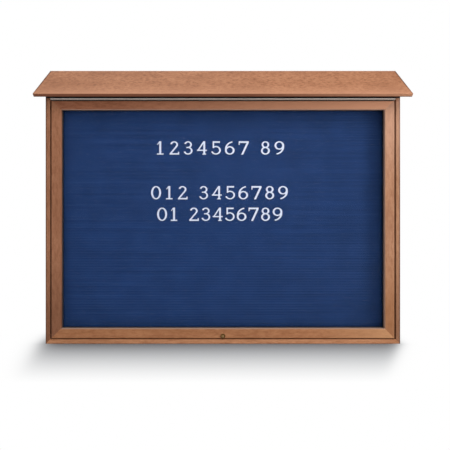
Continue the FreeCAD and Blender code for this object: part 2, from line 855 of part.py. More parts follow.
def slot_face(y, z, along, length, radius, x0, x1):
    """A round-ended bar across X, used for the slot and for the bracket's rounded end."""
    ends = (y, z), (y + along[0] * length, z + along[1] * length)
    across = (-along[1] * radius, along[0] * radius)
    (ya, za), (yb, zb) = ends
    points = [
        (ya + across[0], za + across[1]),
        (yb + across[0], zb + across[1]),
        (yb - across[0], zb - across[1]),
        (ya - across[0], za - across[1]),
    ]
    middle = prism("x", points, x0, x1)
    caps = [rod((x0, *end), (x1, *end), radius) for end in ends]
    return middle.fuse(caps).removeSplitter()


def struts():
    (y0, z0), (y1, z1), (dy, dz), length = strut_points()
    x = strut_offset
    inner, outer = x - eye_width / 2, x + eye_width / 2

    def at(s):
        return (x, y0 + dy * s, z0 + dz * s)

    tube_end = length - rod_end_length - rod_showing
    guide = tube_end - guide_length
    bore = tube_radius - tube_wall
    tube = rod(at(strut_neck), at(tube_end), tube_radius)
    neck = rod(at(0), at(strut_neck + 2), eye_width / 2)
    tube = tube.fuse([neck, rod((inner, y0, z0), (outer, y0, z0), eye_radius)])
    tube = tube.cut(
        [
            rod(at(strut_neck + 4), at(guide), bore),
            rod(at(guide - 1), at(tube_end), rod_radius + running_clear),
            rod((inner, y0, z0), (outer, y0, z0), pivot_radius + running_clear),
        ]
    )
    _, turn, reach = strut_travel()
    piston = guide - reach - piston_length - 4.0
    shaft = rod(at(piston), at(length - eye_radius), rod_radius)
    shaft = shaft.fuse(
        [
            rod(at(piston), at(piston + piston_length), bore - running_clear),
            rod(at(length - rod_end_length + 4.0), at(length - eye_radius + 2.0), rod_radius + 1.5),
            rod((inner, y1, z1), (outer, y1, z1), eye_radius - 1),
        ]
    )
    shaft = shaft.cut(rod((inner, y1, z1), (outer, y1, z1), door_pin_radius))
    along, drift, side = strut_drift()
    slot = door_pin_radius + side + slot_clear
    web0, web1 = inner - bracket_thick - web_clear, inner - web_clear
    head = web0 - side_play
    pin = rod((head, y1, z1), (outer, y1, z1), door_pin_radius)
    pin = pin.fuse(
        [
            rod((head - pin_head, y1, z1), (head, y1, z1), slot + head_lip),
            rod((outer, y1, z1), (outer + pin_head, y1, z1), door_pin_radius + head_lip),
        ]
    )
    bracket = slot_face(y1, z1, along, drift, slot + slot_wall, web0, web1)
    base_z = slot + slot_wall + foot_height
    foot = y1 + along[0] * drift
    web = [(door_back, z1 - base_z), (door_back + bracket_thick, z1 - base_z), (foot, z1 - slot - slot_wall)]
    web += [(foot, z1 + slot + slot_wall), (door_back + bracket_thick, z1 + base_z), (door_back, z1 + base_z)]
    base = box(web0, x + foot_reach, door_back, door_back + bracket_thick, z1 - base_z, z1 + base_z)
    bracket = bracket.fuse([prism("x", web, web0, web1), base]).removeSplitter()
    bracket = bracket.cut(slot_face(y1, z1, along, drift, slot, web0, web1))
    plate0 = inner_half - bracket_thick
    plate = prism(
        "x",
        [
            (y0 - plate_low, z0 - plate_half_height),
            (y0 + plate_high, z0 - plate_half_height),
            (y0 + plate_high, z0 + plate_half_height),
            (y0 - plate_low, z0 + plate_half_height),
        ],
        plate0,
        inner_half,
        dict.fromkeys(range(4), 4.0),
    )
    plate = plate.cut(rod((plate0, y0, z0), (inner_half, y0, z0), pivot_radius))
    cap = inner - side_play
    stud = rod((cap, y0, z0), (inner_half, y0, z0), pivot_radius)
    stud = stud.fuse(
        [
            rod((outer + side_play, y0, z0), (plate0, y0, z0), pivot_radius + boss_lip),
            rod((cap - pin_head, y0, z0), (cap, y0, z0), pivot_radius + boss_lip),
        ]
    )
    parts["strut_case_pins"] = [stud, mirrored(stud)]
    for side_sign, name in ((1, "right"), (-1, "left")):
        for node, shape in (
            ("strut_tube_", tube),
            ("strut_rod_", shaft),
            ("strut_door_pin_", pin),
            ("strut_bracket_door_", bracket),
            ("strut_bracket_case_", plate),
        ):
            parts[node + name] = shape if side_sign > 0 else mirrored(shape)
        made = [
            screw(small_screw, (side_sign * plate0, y0 + y, z0 + z), (side_sign, 0, 0))
            for y in (-9.0, 11.0)
            for z in (-15.0, 15.0)
        ]
        add_screws("fitting_screws_case", made, ["strut_bracket_case_" + name, name + "_side_board"])
        made = [
            screw(small_screw, (side_sign * (x + 3.0), door_back + bracket_thick, z1 + z), (0, -1, 0))
            for z in (-base_z + foot_screw_end, base_z - foot_screw_end)
        ]
        add_screws("fitting_screws_door", made, ["strut_bracket_door_" + name, "door_" + name + "_stile"])


def strut_travel():
    """Door angle, swing and added length of the strut at full opening."""
    cy, cz = strut_case_pivot
    by, bz = strut_door_pivot
    a = math.radians(door_open_angle)
    y, z = by * math.cos(a) + bz * math.sin(a) - cy, bz * math.cos(a) - by * math.sin(a) - cz
    turn = math.atan2(y, -z) - math.atan2(by - cy, cz - bz)
    return a, turn, math.hypot(y, z) - math.hypot(by - cy, bz - cz)


def write():
    for node, shape in parts.items():
        if isinstance(shape, list):
            shape = Part.makeCompound([solid for piece in shape for solid in piece.Solids])
        elif len(shape.Solids) == 1:
            shape = shape.Solids[0]
        shape.translate(FreeCAD.Vector(0, 0, -origin_height))
        shape.exportStep("parts/" + node + ".step")


case_boards()
roof()
case_fixings()
letterboard()
digits()
door_frame()
glazing()
hinge()
lock()
struts()
write()

angle, swing, extend = strut_travel()
print("strut swing per door radian", swing / angle)
print("strut metres per door radian", extend / angle / 1000, "added length", extend)
print("nodes", len(parts))
for key, shape in parts.items():
    solids = sum(len(piece.Solids) for piece in shape) if isinstance(shape, list) else len(shape.Solids)
    if solids != 1:
        print(key, solids)
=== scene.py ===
import math

import bpy
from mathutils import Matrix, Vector


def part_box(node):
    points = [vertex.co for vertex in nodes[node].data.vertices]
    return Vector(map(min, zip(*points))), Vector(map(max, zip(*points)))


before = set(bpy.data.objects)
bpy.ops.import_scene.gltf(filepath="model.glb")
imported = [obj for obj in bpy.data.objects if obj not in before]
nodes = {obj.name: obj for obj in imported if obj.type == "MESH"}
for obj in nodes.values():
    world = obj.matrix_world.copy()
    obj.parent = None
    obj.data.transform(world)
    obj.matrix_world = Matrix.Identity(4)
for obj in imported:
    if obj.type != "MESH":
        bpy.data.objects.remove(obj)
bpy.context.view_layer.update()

# The photograph's frame, and where the board's middle line and the eye's level lie in it, in pixels.
IMAGE_SIDE = 450.0
MIDDLE_X = 222.9
EYE_LEVEL_Y = 200.0
FOCAL_PIXELS = 346.7
SENSOR_WIDTH = 36.0
NEAREST_SEEN = 0.01

# Places in metres. The board's underside stands on the floor.
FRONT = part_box("left_side_board")[0].y
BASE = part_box("bottom_board")[0].z
CASE_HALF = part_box("right_side_board")[1].x
ROOF_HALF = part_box("roof_board")[1].x
EYE_DISTANCE = 1.290
EYE_HEIGHT = 0.5354

# The floor, and the painted shadow on it, which also takes the lamps' own shadow: the board's half width
# there, how it tapers ahead and how soft it is.
FLOOR_HALF = 12.0
FLOOR_DROP = 0.0005
STANDING_DEPTH_HALF = 0.045
STANDING_EDGE = 0.0001
SHADOW_LEFT = (0.680, 0.25, 0.018)
SHADOW_RIGHT = (0.658, 0.66, 0.0125)
SHADOW_REACH = 0.275
SHADOW_BEND = 1.25
FAR_STEPS = 20.0

# Rounds on the boards' sharp edges.
CASE_ROUND = 0.0008
DOOR_ROUND = 0.0005
ROUND_STEPS = 2
SHARP_ANGLE = math.radians(40)

# Colours, as linear values.
WHITE = (1, 1, 1, 1)
CEDAR_LIGHT = (0.450, 0.215, 0.122, 1)
CEDAR_MID = (0.335, 0.142, 0.073, 1)
CEDAR_DARK = (0.200, 0.073, 0.034, 1)
# Painted shade on what faces the ground under the eave.
CEDAR_UNDER_SHADE = (0.170, 0.056, 0.029, 1)
# Painted shade: at the outer arrises, along the drip edge and at the uprights' feet.
CEDAR_SHADE = (0.115, 0.042, 0.020, 1)
# Painted shade at the right stile's foot.
CEDAR_OLIVE = (0.229, 0.084, 0.022, 1)
# Painted shade in the step under the hinge.
CEDAR_DEEP_SHADE = (0.020, 0.007, 0.003, 1)
# Painted highlight along the low rail's inner top edge.
CEDAR_HIGHLIGHT = (0.430, 0.270, 0.200, 1)
# Painted light on the door frame's inner faces and on the uprights' tops.
CEDAR_LIT_PALE = (0.550, 0.330, 0.240, 1)
PANEL_BROWN = (0.320, 0.160, 0.100, 1)
PANEL_BROWN_DEEP = (0.290, 0.143, 0.088, 1)
BOARD_BLUE = (0.0194, 0.0592, 0.199, 1)
BOARD_BLUE_DEEP = (0.0161, 0.0505, 0.171, 1)
BOARD_SHADE = (0.004, 0.010, 0.030, 1)
DIGIT_WHITE = (0.70, 0.76, 0.92, 1)
MILL_SILVER = (0.95, 0.92, 0.87, 1)
MILL_DULL = (0.92, 0.89, 0.83, 1)
# Painted shade on the hinge barrel's underside.
HINGE_UNDER_SHADE = (0.16, 0.11, 0.08, 1)
STEEL = (0.52, 0.51, 0.49, 1)
BRIGHT_STEEL = (0.72, 0.72, 0.73, 1)
BRASS = (0.47, 0.30, 0.135, 1)
BRASS_DULL = (0.32, 0.19, 0.08, 1)
BEZEL_BROWN = (0.105, 0.052, 0.015, 1)
BEZEL_DULL = (0.17, 0.095, 0.030, 1)
# Also the painted shade over the hinge pin.
FOAM_BLACK = (0.012, 0.012, 0.013, 1)
GASKET_GREY = (0.180, 0.150, 0.170, 1)
GASKET_DULL = (0.135, 0.108, 0.128, 1)
BEAD_BLACK = (0.020, 0.018, 0.018, 1)
STRUT_BLACK = (0.018, 0.018, 0.020, 1)
PANE_TINT = (0.03, 0.035, 0.04, 1)
# Painted shadow: the darker grey of the floor close to the board, which also takes the lamps' shadow.
FLOOR_SHADOW_GREY = (0.21, 0.222, 0.24, 1)
FLOOR_FAR = (0.75, 0.75, 0.75, 1)

# Painted light and shade: each board's tone against the plain lumber, darker on the left boards and the top
# rail under the eave, lighter on the right boards and the bottom board.
LIGHT_AND_SHADE_TONES = {
    "roof": (0.92, 0.92, 0.88),
    "floor": (1.22, 1.30, 1.23),
    "low_rail": (0.99, 0.98, 0.84),
    "top_rail": (0.80, 0.70, 0.68),
    "left_stile": (0.91, 0.92, 0.93),
    "left_side": (0.87, 0.90, 0.90),
    "right_stile": (1.10, 1.25, 1.33),
    "right_side": (1.02, 1.16, 1.20),
}

# Lumber: how the grain is drawn along a board, its relief, and how rough and glossy its skin is.
ALONG_X = (0.30, 1.0, 1.0)
ALONG_Z = (1.0, 1.0, 0.30)
ROOF_STRETCH = (0.60, 1.05, 1.05)
ROOF_MOTTLE = 0.85
LUMBER_MOTTLE = 0.45
LUMBER_GRAIN = 0.45
LUMBER_RELIEF = 0.35
LUMBER_RELIEF_DEPTH = 0.0006
LUMBER_ROUGH = (0.58, 0.74)
LUMBER_GLOSS = 0.15

# Noises: cells in a metre, the span of values over which a tone comes in, and the roughness they add.
USUAL_SPAN = (0.3, 0.7)
PATCH_SCALE = 14.0
PATCH_SPAN = (0.45, 0.70)
PATCH_SHARE = 0.35
MOTTLE_SCALE = 130.0
PALE_SPAN = (0.44, 0.66)
DEEP_SPAN = (0.46, 0.30)
STREAK_SCALE = 330.0
STREAK_SPAN = (0.50, 0.70)
BRUSH_SCALE = 900.0
DULL_SCALE = 45.0
DULL_SPAN = (0.40, 0.70)
DULL_ROUGH = (-0.05, 0.08)
SHADE_SCALE = 14.0
SHADE_SPAN = (0.38, 0.68)
ROUGH_SPREAD = (-0.06, 0.06)

# Painted shade along the outer ends' arrises: how wide the dark band is, how steeply it comes in, and on
# which faces.
ARRIS_SHADE_BAND = 0.006
ARRIS_SHADE_STEEPNESS = 2.0
ARRIS_SHADE_FACING = (0.75, 0.98)

# Painted light and shade at the eave: how the painted light fades up the slope, where the painted shade
# below thins out towards the right, which faces look down enough to take it, and the painted shade along
# the drip edge.
EAVE_LIT_SHARE = 0.8
EAVE_CURVE = 1.6
EAVE_SHADE_FADES_FROM = 0.1
FACING_DOWN = (0.1, -0.4)
DRIP_SHADE_BAND = 0.0018

# Painted shade and painted light along edges: in the step under the hinge, the highlight on the low rail,
# the lit inner faces, over the pin and under the hinge.
SHARP_BLEND = 0.0004
HINGE_STEP = 0.0045
HIGHLIGHT_BAND = 0.0006
INNER_LIT_BAND = 0.0006
SHADE_OVER_PIN = 0.0005
HINGE_SHADE_SHARE = 0.75

# Painted light on the rails, growing to the right.
TOP_LIGHT_FROM = -0.45
TOP_LIGHT_TONE = (1.08, 1.08, 1.10)
LOW_LIGHT_FROM = 0.34
LOW_LIGHT_TONE = (1.20, 1.35, 1.15)
LOW_LIGHT_SHARE = 0.6

# Uprights: the painted shade at the foot and how far it goes, and how much painted light pales the top.
FOOT_SHADE_HEIGHT = 0.37
FOOT_SHADE_BLEND = 0.23
TOP_LIT_HEIGHT = 0.60
TOP_LIT_BLEND = 0.18
FOOT_SHADE_AND_TOP_LIGHT = {
    "left_stile": (CEDAR_SHADE, 0.46, 0.0),
    "left_side": (CEDAR_SHADE, 0.47, 0.0),
    "right_stile": (CEDAR_OLIVE, 0.55, 0.30),
    "right_side": (CEDAR_SHADE, 0.43, 0.25),
}

# The letterboard's slats, and the painted shade that grows to the right.
SLAT_STRETCH = (0.006, 0.0, 1.0)
SLAT_SCALE = 230.0
SLAT_SPAN = (0.35, 0.65)
SLAT_SHARE = 0.25
BOARD_SHADE_FROM = -0.1
BOARD_SHADE_SHARE = 0.22

# The hinge's roughness, how its brushed lines are drawn, how metallic and how glossy it is.
HINGE_FINISH = (0.5, (0.04, 1.0, 1.0), 0.15, 0.2)

# The pane: how much of it is seen from the front and from along it, and how that grows.
PANE_CLEAR = 0.02
PANE_ALONG = 0.7
PANE_CURVE = 4.0
PANE_ROUGH = 0.06

# Lamps: name, place, what it is aimed at, size in metres and watts.
MIDDLE = (0, FRONT, BASE + 0.5)
LAMPS = (
    ("key_right", (3.0, FRONT - 1.6, BASE + 1.0), MIDDLE, (1.2, 1.6), 60),
    ("key_high", (0.6, FRONT - 1.6, BASE + 3.0), MIDDLE, (1.8, 1.2), 55),
    ("front_fill", (-0.3, FRONT - 3.4, BASE + 1.3), MIDDLE, (3.6, 2.2), 20),
    ("overhead", (-0.75, 0.15, BASE + 3.0), (-0.75, 0.15, BASE), (1.8, 0.7), 18),
    ("back_fill", (1.2, 3.0, BASE + 1.6), (0, 0, BASE + 0.5), (2.4, 1.6), 45),
)
SOFT_LIGHT = 0.30


def new_group(name, inputs, outputs):
    """A shader node group with named sockets, and its ends. Sockets are (name, kind, default)."""
    group = bpy.data.node_groups.new(name, "ShaderNodeTree")
    for side, sockets in (("INPUT", inputs), ("OUTPUT", outputs)):
        for label, kind, value in sockets:
            socket = group.interface.new_socket(label, in_out=side, socket_type="NodeSocket" + kind)
            if value is not None:
                socket.default_value = value
    start = group.nodes.new("NodeGroupInput")
    end = group.nodes.new("NodeGroupOutput")
    return group, start, end


def add(tree, kind, values=None, **settings):
    """One node, with its settings and its sockets' values or links."""
    node = tree.nodes.new("ShaderNode" + kind)
    for label, value in settings.items():
        setattr(node, label, value)
    for socket, value in (values or {}).items():
        if isinstance(value, bpy.types.NodeSocket):
            tree.links.new(value, node.inputs[socket])
        else:
            node.inputs[socket].default_value = value
    return node


def maths(tree, operation, *values):
    return add(tree, "Math", dict(enumerate(values)), operation=operation).outputs[0]


def mixed_colour(tree, factor, first, second):
    return add(tree, "Mix", {0: factor, 6: first, 7: second}, data_type="RGBA").outputs[2]


def mapped(tree, value, low, high, to_low=0.0, to_high=1.0):
    return add(tree, "MapRange", {0: value, 1: low, 2: high, 3: to_low, 4: to_high}).outputs[0]


def scaled(tree, place, stretch):
    return add(tree, "VectorMath", {0: place, 1: stretch}, operation="MULTIPLY").outputs[0]


def noise(tree, place, scale, detail=2.0, roughness=0.5):
    values = {"Vector": place, "Scale": scale, "Detail": detail, "Roughness": roughness}
    return add(tree, "TexNoise", values).outputs[0]


def lumber_group():
    """Plastic lumber: short embossed grain drawn along the board, mottling and pale flecks."""
    group, start, end = new_group(
        "Lumber",
        (
            ("Stretch", "Vector", (1.0, 1.0, 1.0)),
            ("Light", "Color", CEDAR_LIGHT),
            ("Middle", "Color", CEDAR_MID),
            ("Dark", "Color", CEDAR_DARK),
            ("Mottle", "Float", 0.6),
            ("Grain", "Float", 0.5),
        ),
        (("Colour", "Color", None), ("Roughness", "Float", None), ("Height", "Float", None)),
    )
    given = start.outputs
    along = scaled(group, add(group, "TexCoord").outputs["Object"], given["Stretch"])
    broad = noise(group, along, PATCH_SCALE, 3.0)
    mottle = noise(group, along, MOTTLE_SCALE, 3.0, 0.6)
    streak = noise(group, along, STREAK_SCALE, 4.0, 0.65)
    pale = maths(group, "MULTIPLY", mapped(group, mottle, *PALE_SPAN), given["Mottle"])
    colour = mixed_colour(group, pale, given["Middle"], given["Light"])
    deep = maths(group, "MULTIPLY", mapped(group, mottle, *DEEP_SPAN), given["Mottle"])
    colour = mixed_colour(group, deep, colour, given["Dark"])
    patch = mapped(group, broad, *PATCH_SPAN, 0.0, PATCH_SHARE)
    colour = mixed_colour(group, patch, colour, given["Dark"])
    lines = maths(group, "MULTIPLY", mapped(group, streak, *STREAK_SPAN), given["Grain"])
    colour = mixed_colour(group, lines, colour, given["Dark"])
    group.links.new(colour, end.inputs["Colour"])
    group.links.new(mapped(group, mottle, *USUAL_SPAN, *LUMBER_ROUGH), end.inputs["Roughness"])
    group.links.new(maths(group, "ADD", streak, mottle), end.inputs["Height"])
    return group


def arris_shade_group():
    """Paints shade on a board's front along its two outer ends: a dark band at each arris."""
    group, start, end = new_group(
        "Painted Arris Shade",
        (
            ("Colour", "Color", CEDAR_MID),
            ("Tint", "Color", CEDAR_DARK),
            ("Reach", "Float", 1.0),
            ("Band", "Float", ARRIS_SHADE_BAND),
        ),
        (("Colour", "Color", None),),
    )
    given = start.outputs
    coordinates = add(group, "TexCoord").outputs
    across = add(group, "SeparateXYZ", {0: coordinates["Object"]}).outputs["X"]
    inner = maths(group, "SUBTRACT", given["Reach"], given["Band"])
    full = mapped(group, maths(group, "ABSOLUTE", across), inner, given["Reach"], 0.0, ARRIS_SHADE_STEEPNESS)
    edge = maths(group, "MINIMUM", full, 1.0)
    sideways = add(group, "SeparateXYZ", {0: coordinates["Normal"]}).outputs["X"]
    facing = mapped(group, maths(group, "ABSOLUTE", sideways), *ARRIS_SHADE_FACING, 1.0, 0.0)
    amount = maths(group, "MULTIPLY", edge, facing)
    group.links.new(mixed_colour(group, amount, given["Colour"], given["Tint"]), end.inputs["Colour"])
    return group


def edge_group():
    """Tints a board past a level along an axis: painted shade in a step, along an edge and at a foot,
    painted light and highlights along an edge and a rail.
    """
    group, start, end = new_group(
        "Edge Tint",
        (
            ("Colour", "Color", CEDAR_MID),
            ("Tint", "Color", CEDAR_DEEP_SHADE),
            ("Axis", "Vector", (0.0, 0.0, 1.0)),
            ("Level", "Float", 0.0),
            ("Blend", "Float", SHARP_BLEND),
            ("Amount", "Float", 1.0),
        ),
        (("Colour", "Color", None),),
    )
    given = start.outputs
    place = add(group, "TexCoord").outputs["Object"]
    along = add(group, "VectorMath", {0: place, 1: given["Axis"]}, operation="DOT_PRODUCT").outputs["Value"]
    full = maths(group, "ADD", given["Level"], given["Blend"])
    amount = mapped(group, along, given["Level"], full, 0.0, given["Amount"])
    group.links.new(mixed_colour(group, amount, given["Colour"], given["Tint"]), end.inputs["Colour"])
    return group


def eave_group():
    """Paints light on a sloping board towards its low edge and paints shade on what faces the ground."""
    group, start, end = new_group(
        "Eave Light And Shade",
        (
            ("Colour", "Color", CEDAR_MID),
            ("Lit Colour", "Color", CEDAR_LIGHT),
            ("Shade Colour", "Color", CEDAR_UNDER_SHADE),
            ("Low", "Float", 0.0),
            ("High", "Float", 1.0),
            ("Lit Share", "Float", 0.5),
            ("Shade Share", "Float", 0.9),
            ("Shade Fades From", "Float", 0.0),
            ("Shade Fades To", "Float", 1.0),
        ),
        (("Colour", "Color", None),),
    )
    given = start.outputs
    coordinates = add(group, "TexCoord").outputs
    place = add(group, "SeparateXYZ", {0: coordinates["Object"]}).outputs
    lowness = mapped(group, place["Z"], given["Low"], given["High"], 1.0, 0.0)
    lit_share = maths(group, "MULTIPLY", maths(group, "POWER", lowness, EAVE_CURVE), given["Lit Share"])
    colour = mixed_colour(group, lit_share, given["Colour"], given["Lit Colour"])
    shade_fade = mapped(group, place["X"], given["Shade Fades From"], given["Shade Fades To"], 1.0, 0.0)
    shade_share = maths(group, "MULTIPLY", shade_fade, given["Shade Share"])
    upward = add(group, "SeparateXYZ", {0: coordinates["Normal"]}).outputs["Z"]
    amount = maths(group, "MULTIPLY", mapped(group, upward, *FACING_DOWN), shade_share)
    group.links.new(mixed_colour(group, amount, colour, given["Shade Colour"]), end.inputs["Colour"])
    return group


def brushed_group():
    """Fine lines drawn along a metal piece, with a little dulling."""
    group, start, end = new_group(
        "Brushed Metal",
        (
            ("Stretch", "Vector", (1.0, 1.0, 1.0)),
            ("Metal", "Color", STEEL),
            ("Dull", "Color", STEEL),
            ("Base Roughness", "Float", 0.35),
        ),
        (("Colour", "Color", None), ("Roughness", "Float", None), ("Height", "Float", None)),
    )
    given = start.outputs
    place = add(group, "TexCoord").outputs["Object"]
    lines = noise(group, scaled(group, place, given["Stretch"]), BRUSH_SCALE)
    cloud = noise(group, place, DULL_SCALE, 4.0)
    colour = mixed_colour(group, mapped(group, cloud, *DULL_SPAN), given["Metal"], given["Dull"])
    spread = mapped(group, lines, *USUAL_SPAN, *ROUGH_SPREAD)
    cloudy = mapped(group, cloud, *USUAL_SPAN, *DULL_ROUGH)
    rough = maths(group, "ADD", maths(group, "ADD", given["Base Roughness"], spread), cloudy)
    group.links.new(colour, end.inputs["Colour"])
    group.links.new(rough, end.inputs["Roughness"])
    group.links.new(lines, end.inputs["Height"])
    return group


def moulded_group():
    """Moulded plastic, foam or powder coat: an even colour with a fine skin."""
    group, start, end = new_group(
        "Moulded Skin",
        (
            ("Plain", "Color", STRUT_BLACK),
            ("Shade", "Color", STRUT_BLACK),
            ("Grain", "Float", 600.0),
            ("Base Roughness", "Float", 0.5),
        ),
        (("Colour", "Color", None), ("Roughness", "Float", None), ("Height", "Float", None)),
    )
    given = start.outputs
    place = add(group, "TexCoord").outputs["Object"]
    skin = noise(group, place, given["Grain"])
    cloud = noise(group, place, SHADE_SCALE, 4.0)
    colour = mixed_colour(group, mapped(group, cloud, *SHADE_SPAN), given["Plain"], given["Shade"])
    spread = mapped(group, skin, *USUAL_SPAN, *ROUGH_SPREAD)
    group.links.new(colour, end.inputs["Colour"])
    group.links.new(maths(group, "ADD", given["Base Roughness"], spread), end.inputs["Roughness"])
    group.links.new(skin, end.inputs["Height"])
    return group


GROUPS = {
    "lumber": lumber_group(),
    "arris_shade": arris_shade_group(),
    "eave": eave_group(),
    "edge": edge_group(),
    "brushed": brushed_group(),
    "moulded": moulded_group(),
}


def finished(name, group, values, relief, relief_depth, **shader):
    """A material whose colour, roughness and relief come from one group."""
    made = bpy.data.materials.new(name)
    made.use_nodes = True
    tree = made.node_tree
    surface = tree.nodes["Principled BSDF"]
    source = tree.nodes.new("ShaderNodeGroup")
    source.node_tree = GROUPS[group]
    for socket, value in values.items():
        source.inputs[socket].default_value = value
    tree.links.new(source.outputs["Colour"], surface.inputs["Base Color"])
    tree.links.new(source.outputs["Roughness"], surface.inputs["Roughness"])
    raised = {"Strength": relief, "Distance": relief_depth, "Height": source.outputs["Height"]}
    tree.links.new(add(tree, "Bump", raised).outputs["Normal"], surface.inputs["Normal"])
    for socket, value in shader.items():
        surface.inputs[socket.replace("_", " ")].default_value = value
    return made


def recoloured(made, group, values):
    """Passes a material's colour through one more group."""
    tree = made.node_tree
    colour = tree.nodes["Principled BSDF"].inputs["Base Color"]
    before = colour.links[0].from_socket
    extra = tree.nodes.new("ShaderNodeGroup")
    extra.node_tree = GROUPS[group]
    tree.links.new(before, extra.inputs["Colour"])
    for socket, value in values.items():
        extra.inputs[socket].default_value = value
    tree.links.new(extra.outputs["Colour"], colour)
    return made


def edged(made, axis, level, tint, blend=SHARP_BLEND, amount=1.0):
    values = {"Axis": axis, "Level": level, "Tint": tint, "Blend": blend, "Amount": amount}
    return recoloured(made, "edge", values)


def toned(colour, tone):
    """The colour of one board, with its painted light and shade as a tone."""
    return tuple(part * share for part, share in zip(colour, tone)) + (1,)


def lumber(name, stretch, tone=(1, 1, 1), mottle=LUMBER_MOTTLE, reach=CASE_HALF):
    values = {
        "Stretch": stretch,
        "Light": toned(CEDAR_LIGHT, tone),
        "Middle": toned(CEDAR_MID, tone),
        "Dark": toned(CEDAR_DARK, tone),
        "Mottle": mottle,
        "Grain": LUMBER_GRAIN,
    }
    made = finished(
        name, "lumber", values, LUMBER_RELIEF, LUMBER_RELIEF_DEPTH, Specular_IOR_Level=LUMBER_GLOSS
    )
    # Painted shade along the board's two outer ends.
    return recoloured(made, "arris_shade", {"Reach": reach, "Tint": CEDAR_SHADE})


def top_rail_lumber():
    made = lumber("lumber_top_rail", ALONG_X, LIGHT_AND_SHADE_TONES["top_rail"])
    # Painted light growing towards the rail's right end.
    lit_tint = toned(CEDAR_LIGHT, TOP_LIGHT_TONE)
    made = edged(made, (1, 0, 0), TOP_LIGHT_FROM, lit_tint, CASE_HALF - TOP_LIGHT_FROM)
    low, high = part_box("door_top_rail")
    # Painted light on the rail's underside, the inner face over the opening.
    made = edged(made, (0, 0, -1), -low.z - INNER_LIT_BAND, CEDAR_LIT_PALE)
    # Painted shade in the step under the hinge's barrel.
    return edged(made, (0, 0, 1), high.z - HINGE_STEP, CEDAR_DEEP_SHADE)


def low_rail_lumber():
    made = lumber("lumber_low_rail", ALONG_X, LIGHT_AND_SHADE_TONES["low_rail"])
    # Painted light growing towards the rail's right end.
    lit_tint = toned(CEDAR_LIGHT, LOW_LIGHT_TONE)
    made = edged(made, (1, 0, 0), LOW_LIGHT_FROM, lit_tint, CASE_HALF - LOW_LIGHT_FROM, LOW_LIGHT_SHARE)
    # Painted highlight along the rail's top inner edge.
    return edged(made, (0, 0, 1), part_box("door_bottom_rail")[1].z - HIGHLIGHT_BAND, CEDAR_HIGHLIGHT)


def upright_lumber(place):
    """A board that stands on end: painted shade darker towards the ground, painted light paler towards the
    roof.
    """
    made = lumber("lumber_" + place, ALONG_Z, LIGHT_AND_SHADE_TONES[place])
    foot_shade, foot_share, top_share = FOOT_SHADE_AND_TOP_LIGHT[place]
    # Painted shade at the foot.
    made = edged(made, (0, 0, -1), -BASE - FOOT_SHADE_HEIGHT, foot_shade, FOOT_SHADE_BLEND, foot_share)
    # Painted light at the top.
    return edged(made, (0, 0, 1), BASE + TOP_LIT_HEIGHT, CEDAR_LIT_PALE, TOP_LIT_BLEND, top_share)


def right_stile_lumber():
    made = upright_lumber("right_stile")
    # Painted light on the stile's inner face.
    return edged(made, (-1, 0, 0), -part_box("door_right_stile")[0].x - INNER_LIT_BAND, CEDAR_LIT_PALE)


def roof_lumber():
    made = lumber("lumber_roof", ROOF_STRETCH, LIGHT_AND_SHADE_TONES["roof"], ROOF_MOTTLE, ROOF_HALF)
    low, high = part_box("roof_board")
    # Painted light towards the eave, and painted shade on the faces that look down, thinning out to the
    # right.
    eave = {
        "Low": low.z,
        "High": (low.z + high.z) / 2,
        "Lit Share": EAVE_LIT_SHARE,
        "Shade Fades From": EAVE_SHADE_FADES_FROM,
        "Shade Fades To": CASE_HALF,
    }
    made = recoloured(made, "eave", eave)
    # Painted shade along the drip edge.
    return edged(made, (0, 0, -1), -low.z - DRIP_SHADE_BAND, CEDAR_SHADE)


def metal(name, colour, dull, roughness, stretch=(1.0, 1.0, 1.0), metallic=1.0, gloss=0.5):
    values = {"Metal": colour, "Dull": dull, "Base Roughness": roughness, "Stretch": stretch}
    shader = {"Metallic": metallic, "Specular_IOR_Level": gloss}
    return finished(name, "brushed", values, relief=0.08, relief_depth=0.0001, **shader)


def hinge_metal():
    made = metal("mill_silver", MILL_SILVER, MILL_DULL, *HINGE_FINISH)
    # Painted shade on the barrel's faces that look down.
    hinge_shade = {"Lit Share": 0.0, "Shade Colour": HINGE_UNDER_SHADE, "Shade Share": HINGE_SHADE_SHARE, "Shade Fades From": CASE_HALF}
    made = recoloured(made, "eave", hinge_shade)
    # Painted shade: a black line over the pin, where the eave shades the hinge.
    return edged(made, (0, 0, 1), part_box("hinge_pin")[1].z + SHADE_OVER_PIN, FOAM_BLACK)


def plastic(name, colour, shade, roughness, grain=600.0, relief=0.1, gloss=0.5):
    values = {"Plain": colour, "Shade": shade, "Base Roughness": roughness, "Grain": grain}
    return finished(name, "moulded", values, relief, relief_depth=0.0002, Specular_IOR_Level=gloss)


def blue_board():
    """The grooved board: each slat between two grooves takes the light a little differently."""
    made = plastic("blue_board", BOARD_BLUE, BOARD_BLUE_DEEP, roughness=0.75, grain=900.0, gloss=0.12)
    tree = made.node_tree
    skin = tree.nodes["Principled BSDF"].inputs["Base Color"]
    along = scaled(tree, add(tree, "TexCoord").outputs["Object"], SLAT_STRETCH)
    amount = mapped(tree, noise(tree, along, SLAT_SCALE), *SLAT_SPAN, 0.0, SLAT_SHARE)
    tree.links.new(mixed_colour(tree, amount, skin.links[0].from_socket, BOARD_SHADE), skin)
    # Painted shade that grows towards the right.
    reach = CASE_HALF - BOARD_SHADE_FROM
    return edged(made, (1, 0, 0), BOARD_SHADE_FROM, BOARD_SHADE, reach, BOARD_SHADE_SHARE)


